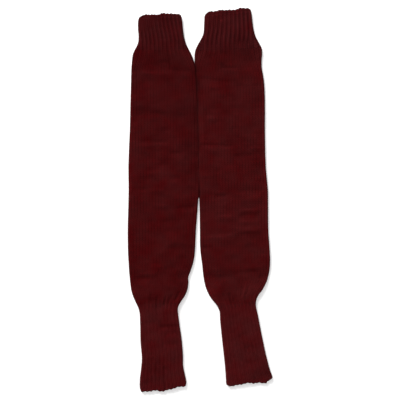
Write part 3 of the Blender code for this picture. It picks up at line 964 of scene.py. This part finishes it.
def knit_piece(name, knit, material):
    """The mesh of one piece: stitched outer side, rims at open ends, and a plain inner side."""
    outer, courses, tones_and_painted_light = outer_side(knit)
    inner = inner_side(knit)
    rows, columns = courses.shape
    inner_first = rows * columns
    inner_last = inner_first + (len(inner) - 1) * WALES
    groups = [outer_faces(knit, outer, courses), inner_faces(len(inner), inner_first)]
    groups += end_faces(knit, 0, 0, inner_first)
    groups += end_faces(knit, 1, (rows - 1) * columns, inner_last)
    points = np.concatenate([outer.reshape(-1, 3), inner.reshape(-1, 3)])
    inner_tones = np.full(len(points) - inner_first, INNER_TONE * PAINTED_CAVITY_SHADE)
    tones_and_painted_light = np.concatenate([tones_and_painted_light.ravel(), inner_tones]).astype(np.float32)
    piece = build_mesh(name, points, tones_and_painted_light, groups)
    piece.data.materials.append(material)
    return piece


def node(tree, kind, x, y, **settings):
    """A new node at a place in the tree, with its settings."""
    made = tree.nodes.new(kind)
    made.location = (x, y)
    for key, value in settings.items():
        setattr(made, key, value)
    return made


def set_inputs(made, values):
    """Gives a node's inputs their numbers or colours, by name."""
    for name, value in values.items():
        made.inputs[name].default_value = value


def math_node(tree, operation, first, second=None, third=None):
    """A maths node whose inputs are sockets or numbers. Returns its output."""
    made = tree.nodes.new("ShaderNodeMath")
    made.operation = operation
    for socket, value in zip(made.inputs, (first, second, third)):
        if value is None:
            continue
        if isinstance(value, (int, float)):
            socket.default_value = value
        else:
            tree.links.new(value, socket)
    return made.outputs[0]


def noise(tree, x, y, place, scale, detail, roughness=0.5):
    """A noise texture read at a place. Returns its value."""
    made = node(tree, "ShaderNodeTexNoise", x, y)
    set_inputs(made, {"Scale": scale, "Detail": detail, "Roughness": roughness})
    tree.links.new(place, made.inputs["Vector"])
    return made.outputs["Fac"]


def mixed(tree, x, y, share, first, second):
    """A colour between two, each a socket or four numbers. Returns its socket."""
    made = node(tree, "ShaderNodeMix", x, y, data_type="RGBA", clamp_factor=True)
    tree.links.new(share, made.inputs["Factor"])
    for name, colour in (("A", first), ("B", second)):
        if isinstance(colour, tuple):
            made.inputs[name].default_value = colour
        else:
            tree.links.new(colour, made.inputs[name])
    return made.outputs["Result"]


def yarn_colour(tree, wale, course, place, fibres, dark, pure, brown):
    """Colour of the yarn, from each point's paleness with its painted shade and painted light, and
    from what changes it over the cloth.
    """
    # Shade of each course's yarn, in dashes a few stitches long
    row_number = math_node(tree, "FLOOR", course)
    dash_place = node(tree, "ShaderNodeCombineXYZ", -1000, 300)
    tree.links.new(math_node(tree, "MULTIPLY", wale, DASHES_PER_WALE), dash_place.inputs[0])
    along = math_node(tree, "MULTIPLY", row_number, DASHES_PER_COURSE)
    tree.links.new(along, dash_place.inputs[1])
    dashes = noise(tree, -800, 300, dash_place.outputs[0], scale=1.0, detail=2.0)

    # Slow change of shade over the cloth, a little paler towards the lower right
    clouds = noise(tree, -800, 0, place, scale=14.0, detail=3.0)
    split = node(tree, "ShaderNodeSeparateXYZ", -800, -120)
    tree.links.new(place, split.inputs[0])
    paler_to_lower_right = math_node(tree, "MULTIPLY", split.outputs[0], RIGHT_SHADE)
    paler_to_lower_right = math_node(tree, "MULTIPLY_ADD", split.outputs[1], UP_SHADE, paler_to_lower_right)

    # Patches where brown fibres are mixed in, a few more of them to the right
    heather = noise(tree, -800, -400, place, scale=38.0, detail=4.0, roughness=0.6)
    brownness = math_node(tree, "MULTIPLY_ADD", split.outputs[0], BROWN_BY_RIGHT, BROWN_START)
    brownness = math_node(tree, "MULTIPLY_ADD", heather, BROWN_BY_NOISE, brownness)
    light = mixed(tree, -500, -400, brownness, pure, brown)

    # Each point's paleness: painted shade in the grooves and valleys, and the patches' tones,
    # painted shade and painted sheen
    tone_and_painted_light = node(tree, "ShaderNodeAttribute", -800, 500, attribute_name="tone_and_painted_light")
    shade = math_node(tree, "MULTIPLY_ADD", dashes, DASH_SHADE, paler_to_lower_right)
    shade = math_node(tree, "SUBTRACT", shade, MEAN_SHADE)
    shade = math_node(tree, "MULTIPLY_ADD", clouds, CLOUD_SHADE, shade)
    shade = math_node(tree, "MULTIPLY_ADD", fibres, FIBRE_SHADE, shade)
    shade = math_node(tree, "ADD", tone_and_painted_light.outputs["Fac"], shade)
    return mixed(tree, -300, 300, shade, dark, light)


def yarn_bump(tree, wale, course, fibres):
    """The yarn's twist, which runs across each arm of a stitch, and loose fibres that blur it."""
    in_wale = math_node(tree, "FRACT", math_node(tree, "ADD", wale, 0.5))
    from_middle = math_node(tree, "ABSOLUTE", math_node(tree, "MULTIPLY_ADD", in_wale, 2.0, -1.0))
    in_course = math_node(tree, "FRACT", course)
    turns = math_node(tree, "MULTIPLY", in_course, TWISTS_ALONG)
    turns = math_node(tree, "MULTIPLY_ADD", from_middle, TWISTS_ACROSS, turns)
    twist = math_node(tree, "SINE", math_node(tree, "MULTIPLY", turns, 2 * math.pi))
    height = math_node(tree, "MULTIPLY_ADD", twist, TWIST_HEIGHT, fibres)
    bump = node(tree, "ShaderNodeBump", -200, -300)
    set_inputs(bump, {"Strength": 0.5, "Distance": 0.00025})
    tree.links.new(height, bump.inputs["Height"])
    return bump.outputs[0]


def yarn_material(name, dark, pure, brown):
    """Matt heathered wool. The stitch map gives the wale and the course at each point."""
    material = bpy.data.materials.new(name)
    material.use_nodes = True
    tree = material.node_tree
    shader = tree.nodes["Principled BSDF"]
    set_inputs(shader, {
        "Roughness": 0.92,
        "Specular IOR Level": 0.05,
        "Sheen Weight": 0.12,
        "Sheen Roughness": 0.4,
        "Sheen Tint": (0.8, 0.35, 0.33, 1.0),
    })
    stitches = node(tree, "ShaderNodeUVMap", -1600, 0, uv_map="Stitches")
    split = node(tree, "ShaderNodeSeparateXYZ", -1400, 0)
    tree.links.new(stitches.outputs["UV"], split.inputs[0])
    wale = split.outputs[0]
    course = split.outputs[1]
    place = node(tree, "ShaderNodeTexCoord", -1000, 0).outputs["Object"]
    fibres = noise(tree, -800, -250, place, scale=1900.0, detail=2.0)
    colour = yarn_colour(tree, wale, course, place, fibres, dark, pure, brown)
    tree.links.new(colour, shader.inputs["Base Color"])
    tree.links.new(yarn_bump(tree, wale, course, fibres), shader.inputs["Normal"])
    return material


def floor():
    """A plain pale floor under the pair."""
    bpy.ops.mesh.primitive_circle_add(vertices=96, radius=6.0, fill_type="NGON")
    ground = bpy.context.object
    ground.name = "floor"
    ground.location = (0, 0, -FLOOR_DROP * MM)
    material = bpy.data.materials.new("floor_white")
    material.use_nodes = True
    set_inputs(material.node_tree.nodes["Principled BSDF"], {
        "Base Color": (0.92, 0.92, 0.92, 1.0),
        "Roughness": 0.85,
        "Specular IOR Level": 0.1,
        "Emission Color": (1.0, 1.0, 1.0, 1.0),
        "Emission Strength": 0.35,
    })
    ground.data.materials.append(material)


def soft_light(name, place, target, size, watts):
    """A large area light that faces a point."""
    data = bpy.data.lights.new(name, "AREA")
    data.shape = "DISK"
    data.size = size
    data.energy = watts
    lamp = bpy.data.objects.new(name, data)
    lamp.location = place
    lamp.rotation_euler = (Vector(target) - Vector(place)).to_track_quat("-Z", "Y").to_euler()
    bpy.context.scene.collection.objects.link(lamp)


def lights():
    """A large soft light from the upper left, and even white light from all round."""
    world = bpy.data.worlds.new("studio")
    bpy.context.scene.world = world
    world.use_nodes = True
    background = world.node_tree.nodes["Background"]
    set_inputs(background, {"Color": (1.0, 1.0, 1.0, 1.0), "Strength": 0.50})
    soft_light("key", place=(-1.6, 2.9, 2.2), target=(0, 0, 0), size=1.8, watts=170)
    bpy.context.scene.view_settings.view_transform = "Standard"


def camera():
    """Straight above the pair, and as far up as it takes to see VIEW_ACROSS."""
    data = bpy.data.cameras.new("camera")
    data.lens = 85
    data.sensor_width = 36
    height = VIEW_ACROSS * MM * data.lens / data.sensor_width
    made = bpy.data.objects.new("camera", data)
    made.location = ((VIEW_MIDDLE_X - PAIR_MIDDLE_X) * MM, VIEW_MIDDLE_Y * MM, height)
    bpy.context.scene.collection.objects.link(made)
    bpy.context.scene.camera = made


def leg_warmer(side, tube, materials):
    """The three pieces of one leg warmer, each in place of its solid."""
    folds_round = 1.14  # of its height that a tube's two folds add to twice its width
    pieces = [
        ("top_cuff", tube.mouths[0], TOP_JOINT, TOP_CUFF_COURSES, True, "top_cuff_rib"),
        ("leg", TOP_JOINT, ANKLE_JOINT, LEG_COURSES, False, "leg_knit"),
        ("ankle_cuff", ANKLE_JOINT, tube.mouths[1], ANKLE_CUFF_COURSES, True, "ankle_cuff_rib"),
    ]
    for number, (part, start, end, courses, ribbed, slot) in enumerate(pieces):
        knit = Knit(tube, start, end, courses, ribbed, tube.seed + number)
        piece = knit_piece(side + "_" + part + "_knit", knit, materials[slot])
        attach(piece, "root")
        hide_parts(side + "_" + part)
        middle = 0.5 * (start + end)
        width = float(tube.width(middle))
        round_tube = (2 * width + folds_round * float(tube.read("high", middle))) * MM


def main():
    """The stage, the yarns and the two leg warmers."""
    floor()
    lights()
    camera()
    materials = {}
    for slot, dark, pure, brown in YARNS:
        materials[slot] = yarn_material(slot, dark, pure, brown)
    left = Tube(LEFT_SECTIONS, LEFT_CREASES, LEFT_PLEATS, LEFT_TONE_AND_PAINTED_LIGHT_PATCHES,
                lean=-1.7, lean_wale=21, pressed=LEFT_PRESSED, dips=LEFT_DIPS, seam=1, seed=11)
    right = Tube(RIGHT_SECTIONS, RIGHT_CREASES, RIGHT_PLEATS, RIGHT_TONE_AND_PAINTED_LIGHT_PATCHES,
                 lean=1.0, lean_wale=6, pressed=RIGHT_PRESSED, dips=RIGHT_DIPS, seam=-1, seed=47)
    leg_warmer("left", left, materials)
    leg_warmer("right", right, materials)


main()
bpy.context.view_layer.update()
